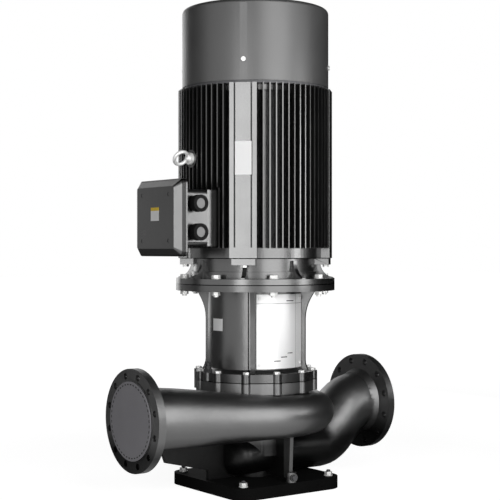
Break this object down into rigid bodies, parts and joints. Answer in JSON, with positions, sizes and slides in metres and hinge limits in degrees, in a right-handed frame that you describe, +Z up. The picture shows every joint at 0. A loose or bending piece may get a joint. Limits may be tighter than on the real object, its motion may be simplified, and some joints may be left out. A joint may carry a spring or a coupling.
{
  "type": "in-line circulation pump",
  "caption": "Vertical in-line pump: volute casing with two flanged ports on one axis, motor stool, and a finned flange motor with fan cowl and terminal box.",
  "frame": {"origin": "centre of the base plate's underside, on the pump and motor axis", "axes": "+Z up along the shaft, X along the pipe axis with the discharge port at -X and the suction port at +X"},
  "size_m": [1.0064, 0.553, 1.643],
  "materials": {
    "black_paint": "satin black paint",
    "cowl_paint": "satin dark grey paint",
    "zinc": "zinc plated steel",
    "machined_steel": "machined steel",
    "raw_iron": "dark cast iron",
    "bronze": "cast bronze",
    "stainless": "brushed stainless sheet",
    "grey_cover": "matt grey cover",
    "rubber": "black gasket",
    "fan_plastic": "black moulded plastic",
    "seal_carbon": "carbon seal ring in its holder",
    "seal_ceramic": "ceramic seal ring",
    "copper": "varnished copper windings",
    "board": "moulded terminal board",
    "blank_grey": "grey blanking disc"
  },
  "bodies": {
    "pump": {"base_plate": "black_paint", "volute_casing": "black_paint", "foot_bolts": "zinc", "wear_ring": "bronze", "drain_plug": "zinc", "casing_cover": "raw_iron", "cover_gasket": "rubber", "casing_bolts": "zinc", "vent_body": "zinc", "seal_seat": "seal_ceramic", "seal_plate": "raw_iron", "seal_plate_screws": "zinc", "motor_stool": "black_paint", "front_guard": "stainless", "rear_guard": "stainless", "guard_screws": "zinc", "lower_bearing_outer": "machined_steel", "upper_bearing_outer": "machined_steel", "bearing_cap": "raw_iron", "motor_bracket": "black_paint", "flange_bolts": "zinc", "flange_washers": "zinc", "flange_nuts": "zinc", "bracket_bolts": "zinc", "motor_frame": "black_paint", "stator_core": "machined_steel", "stator_windings": "copper", "upper_shield": "raw_iron", "fan_cowl": "cowl_paint", "cowl_screws": "zinc", "terminal_box": "black_paint", "lid_gasket": "rubber", "terminal_lid": "black_paint", "lid_screws": "black_paint", "terminal_board": "board", "cable_glands": "fan_plastic", "gland_blanks": "blank_grey", "lifting_eye": "zinc"},
    "rotor": {"impeller": "bronze", "impeller_key": "machined_steel", "impeller_nut": "machined_steel", "pump_shaft": "machined_steel", "seal_collar": "machined_steel", "seal_spring": "machined_steel", "seal_head": "seal_carbon", "front_coupling_half": "raw_iron", "rear_coupling_half": "raw_iron", "coupling_bolts": "zinc", "motor_shaft": "machined_steel", "rotor_core": "machined_steel", "cooling_fan": "fan_plastic", "lower_bearing_inner": "machined_steel", "lower_bearing_balls": "machined_steel", "upper_bearing_inner": "machined_steel", "upper_bearing_balls": "machined_steel"},
    "discharge_cap": {"discharge_port_cap": "grey_cover"},
    "suction_cap": {"suction_port_cap": "grey_cover"},
    "bleed_screw": {"vent_screw": "machined_steel"}
  },
  "joints": [
    {"name": "rotor_spin", "type": "hinge", "parent": "pump", "child": "rotor", "pos_m": [0, 0, 0], "axis": [0, 0, 1], "continuous": true},
    {"name": "discharge_cap_pull", "type": "slide", "parent": "pump", "child": "discharge_cap", "axis": [-1, 0, 0], "range_m": [0, 0.2]},
    {"name": "suction_cap_pull", "type": "slide", "parent": "pump", "child": "suction_cap", "axis": [1, 0, 0], "range_m": [0, 0.2]},
    {"name": "vent_screw_turn", "type": "hinge", "parent": "pump", "child": "bleed_screw", "pos_m": [-0.198, 0, 0.4024], "axis": [0, 0, 1], "range_deg": [0, 270]}
  ]
}
